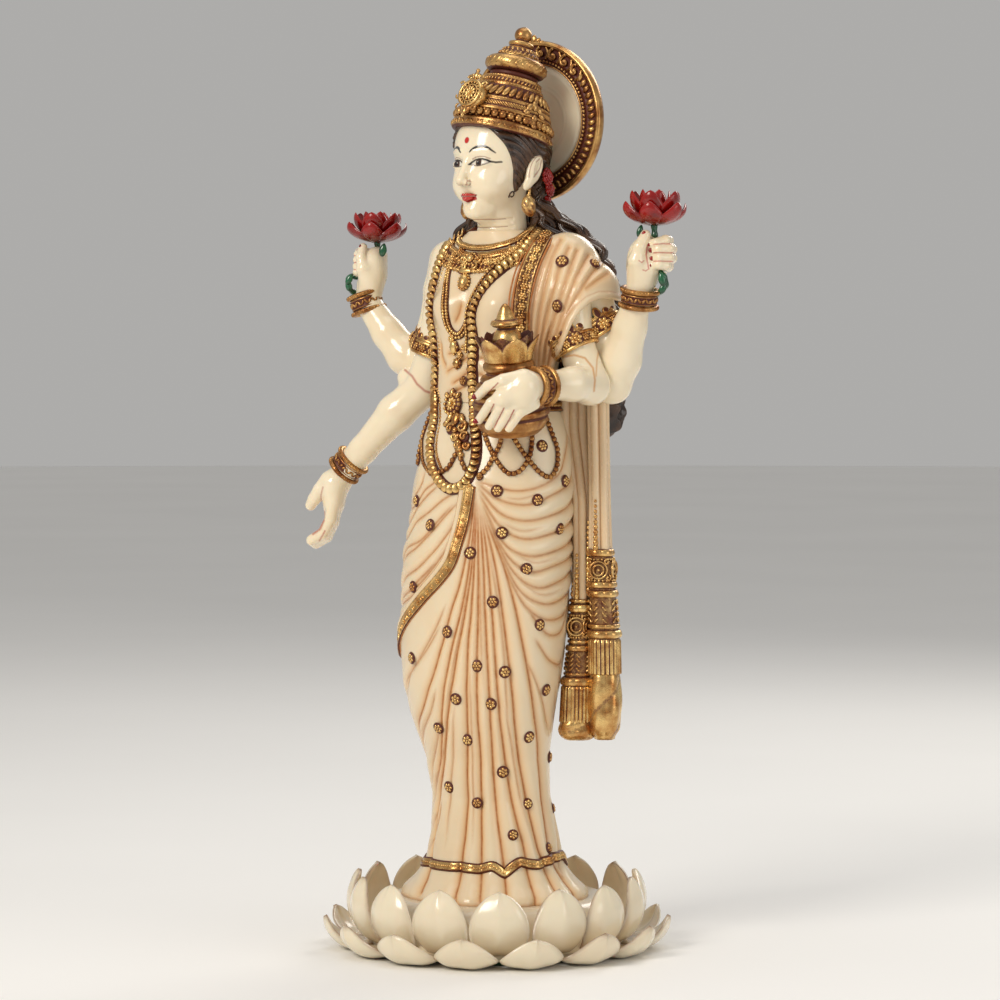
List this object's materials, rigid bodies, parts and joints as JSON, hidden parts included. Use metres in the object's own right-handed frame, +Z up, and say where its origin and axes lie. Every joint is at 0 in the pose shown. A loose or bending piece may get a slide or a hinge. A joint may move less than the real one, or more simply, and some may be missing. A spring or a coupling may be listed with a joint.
{
  "type": "standing four-armed deity statuette",
  "caption": "Standing four-armed goddess statuette on a round lotus pedestal, with a tall crown, a halo, raised lotus flowers and a lidded pot at the hip.",
  "frame": {"origin": "centre of the pedestal's flat underside, on the vertical axis of the pedestal", "axes": "+Z up, longest extent of the statuette; the figure faces -Y; the figure's own left hand is on the +X side"},
  "size_m": [0.1491, 0.1264, 0.3386],
  "materials": {
    "ivory_resin": "gloss",
    "sari_resin": "gloss",
    "antique_gold": "satin",
    "hair_paint": "gloss",
    "red_paint": "gloss",
    "green_paint": "gloss",
    "steel": "satin",
    "felt": "matte"
  },
  "bodies": {
    "root": {"base_felt": "felt", "base_core": "ivory_resin", "base_petals_lower": "ivory_resin", "base_petals_upper": "ivory_resin", "skirt": "sari_resin", "hem_band": "antique_gold", "sari_border_band": "antique_gold", "sari_motifs": "antique_gold", "torso": "sari_resin", "waist_belt": "antique_gold", "belt_buckle": "antique_gold", "belt_chains": "antique_gold", "shoulder_drape": "sari_resin", "drape_border": "antique_gold", "pallu_tail": "sari_resin", "pallu_gold_end": "antique_gold", "head": "ivory_resin", "hair_back": "hair_paint", "hair_front": "hair_paint", "hair_flower": "red_paint", "crown_band": "antique_gold", "crown_dome": "antique_gold", "crown_ring": "antique_gold", "crown_finial": "antique_gold", "crown_medallion": "antique_gold", "halo_disc": "ivory_resin", "halo_rim": "antique_gold", "earring_left": "antique_gold", "earring_right": "antique_gold", "collar_necklace": "antique_gold", "pendant_necklace": "antique_gold", "long_garland": "antique_gold", "arm_left_rear": "ivory_resin", "arm_right_rear": "ivory_resin", "forearm_left_front": "ivory_resin", "forearm_right_front": "ivory_resin", "armlet_left": "antique_gold", "armlet_right": "antique_gold", "bangles_left_rear": "antique_gold", "bangles_right_rear": "antique_gold", "bangles_left_front": "antique_gold", "bangles_right_front": "antique_gold", "lotus_left": "red_paint", "lotus_right": "red_paint", "lotus_stem_left": "green_paint", "lotus_stem_right": "green_paint", "pot_body": "antique_gold", "pot_lotus_cup": "antique_gold", "pot_lid": "antique_gold", "armature_rod": "steel", "shoulder_pins": "steel", "elbow_pins": "steel", "halo_pin": "steel"}
  },
  "joints": []
}
